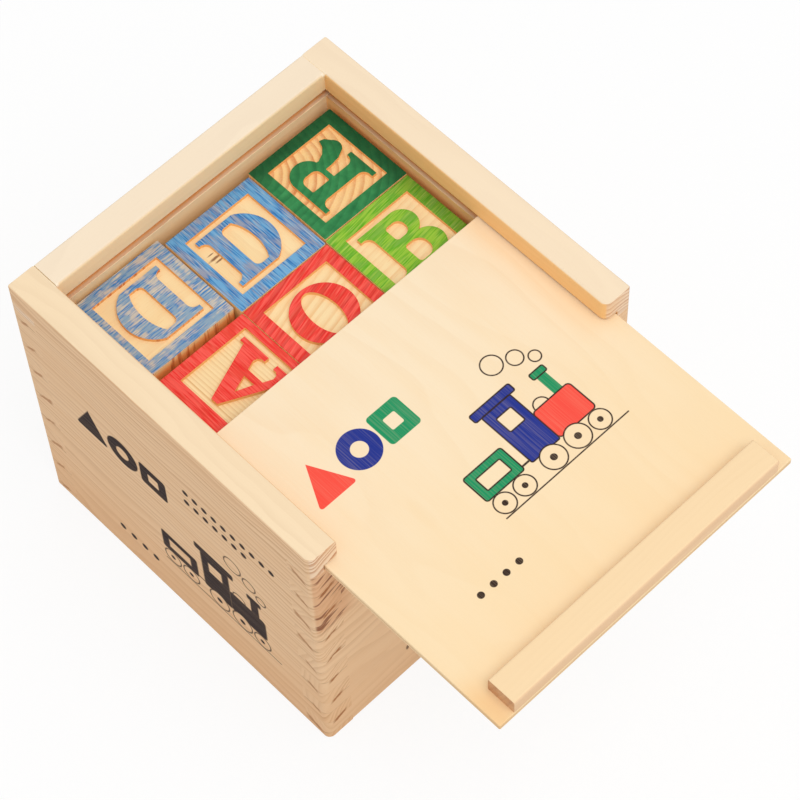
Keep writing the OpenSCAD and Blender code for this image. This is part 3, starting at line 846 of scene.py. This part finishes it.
for node in ("lid_panel", "bottom_panel"):
    easedCopy(node, lidFinish(node), ease["lid"])
easedCopy("pull_strip", stripFinish(), ease["strip"])
print("lid, strip and bottom finished")

cubes = sorted(node for node in frame["nodes"] if node.startswith("block_"))
for number, node in enumerate(cubes):
    easedCopy(node, cubeFinish(node, firstCubeSeed + number), ease["cube"])
print("cubes finished:", len(cubes))

studio = {
    "ambient": 0.71, "floorSize": 4.0, "floorBounce": 0.86, "floorLight": 0.86,
    "key": {"from": (-0.02, -0.42, 0.9), "away": 1.3, "size": 1.0, "power": 5.9},
}
white = (1.0, 1.0, 1.0, 1.0)


def seenStraight(finish):
    # 1 where the eye meets the place straight, or by a mirror or through glass
    rays = ("Is Camera Ray", "Is Glossy Ray", "Is Transmission Ray")
    return joined(finish.add("ShaderNodeLightPath", {}, {}, rays))


def makeFloor():
    shape = bmesh.new()
    bmesh.ops.create_grid(shape, x_segments=1, y_segments=1, size=studio["floorSize"] / 2)
    mesh = bpy.data.meshes.new("studioFloor")
    shape.to_mesh(mesh)
    shape.free()
    floor = bpy.data.objects.new("studioFloor", mesh)
    bpy.context.scene.collection.objects.link(floor)
    finish = newFinish("studioFloor")
    bounce = finish.add("ShaderNodeBsdfDiffuse", {}, {"Color": (*[studio["floorBounce"]] * 3, 1.0)})
    pale = finish.add("ShaderNodeBsdfDiffuse", {}, {"Color": white})
    glow = finish.add("ShaderNodeEmission", {}, {"Color": white, "Strength": 1.0})
    lit = finish.add("ShaderNodeMixShader", {}, {0: studio["floorLight"], 1: pale, 2: glow})
    finish.show(finish.add("ShaderNodeMixShader", {}, {0: seenStraight(finish), 1: bounce, 2: lit}))
    finish.tree.nodes.remove(finish.tree.nodes["Principled BSDF"])
    mesh.materials.append(finish.owner)


def makeSky():
    world = bpy.data.worlds.new("studioSky")
    bpy.context.scene.world = world
    finish = Finish(world)
    level = studio["ambient"] + seenStraight(finish) * (1.0 - studio["ambient"])
    finish.show(finish.add("ShaderNodeBackground", {}, {"Color": white, "Strength": level}))
    finish.tree.nodes.remove(finish.tree.nodes["Background"])


def aim(thing, place, target):
    thing.location = place
    thing.rotation_mode = "QUATERNION"
    thing.rotation_quaternion = (Vector(target) - Vector(place)).to_track_quat("-Z", "Y")


def makeKey():
    settings = studio["key"]
    light = bpy.data.lights.new("keyLamp", "AREA")
    light.shape = "DISK"
    light.size = settings["size"]
    light.energy = settings["power"]
    lamp = bpy.data.objects.new("keyLamp", light)
    bpy.context.scene.collection.objects.link(lamp)
    middle = (cadBox[0] + cadBox[1]) / 2
    aim(lamp, middle + Vector(settings["from"]).normalized() * settings["away"], middle)


# the photographer's place, found from the box: angles in degrees, lengths in millimetres
lensView = {
    "azimuth": -41.57535, "elevation": 59.61394, "roll": -2.953325, "away": 800.7049,
    "aimed": (0.0, 0.0, 50.0), "slide": (19.546805, -1.53727), "focal": 132.9105, "sensor": 36.0,
    "nearest": 10.0,
}


def makeCamera():
    azimuth, elevation, roll = [math.radians(lensView[name]) for name in ("azimuth", "elevation", "roll")]
    back = Vector((math.sin(azimuth) * math.cos(elevation), -math.cos(azimuth) * math.cos(elevation),
                   math.sin(elevation)))
    right = Vector((0, 0, 1)).cross(back).normalized()
    up = back.cross(right)
    tilted = right * math.cos(roll) + up * math.sin(roll)
    risen = up * math.cos(roll) - right * math.sin(roll)
    place = Vector(lensView["aimed"]) + tilted * lensView["slide"][0] + risen * lensView["slide"][1]
    place = (place + back * lensView["away"]) / perMetre
    lens = bpy.data.cameras.new("photoCamera")
    lens.lens = lensView["focal"]
    lens.sensor_width = lensView["sensor"]
    lens.clip_start = lensView["nearest"] / perMetre
    camera = bpy.data.objects.new("photoCamera", lens)
    bpy.context.scene.collection.objects.link(camera)
    turned = Matrix((tilted, risen, back)).transposed().to_4x4()
    camera.matrix_world = Matrix.Translation(place) @ turned
    bpy.context.scene.camera = camera


makeFloor()
makeSky()
makeKey()
makeCamera()
bpy.context.scene.view_settings.view_transform = "Standard"
print("studio ready")
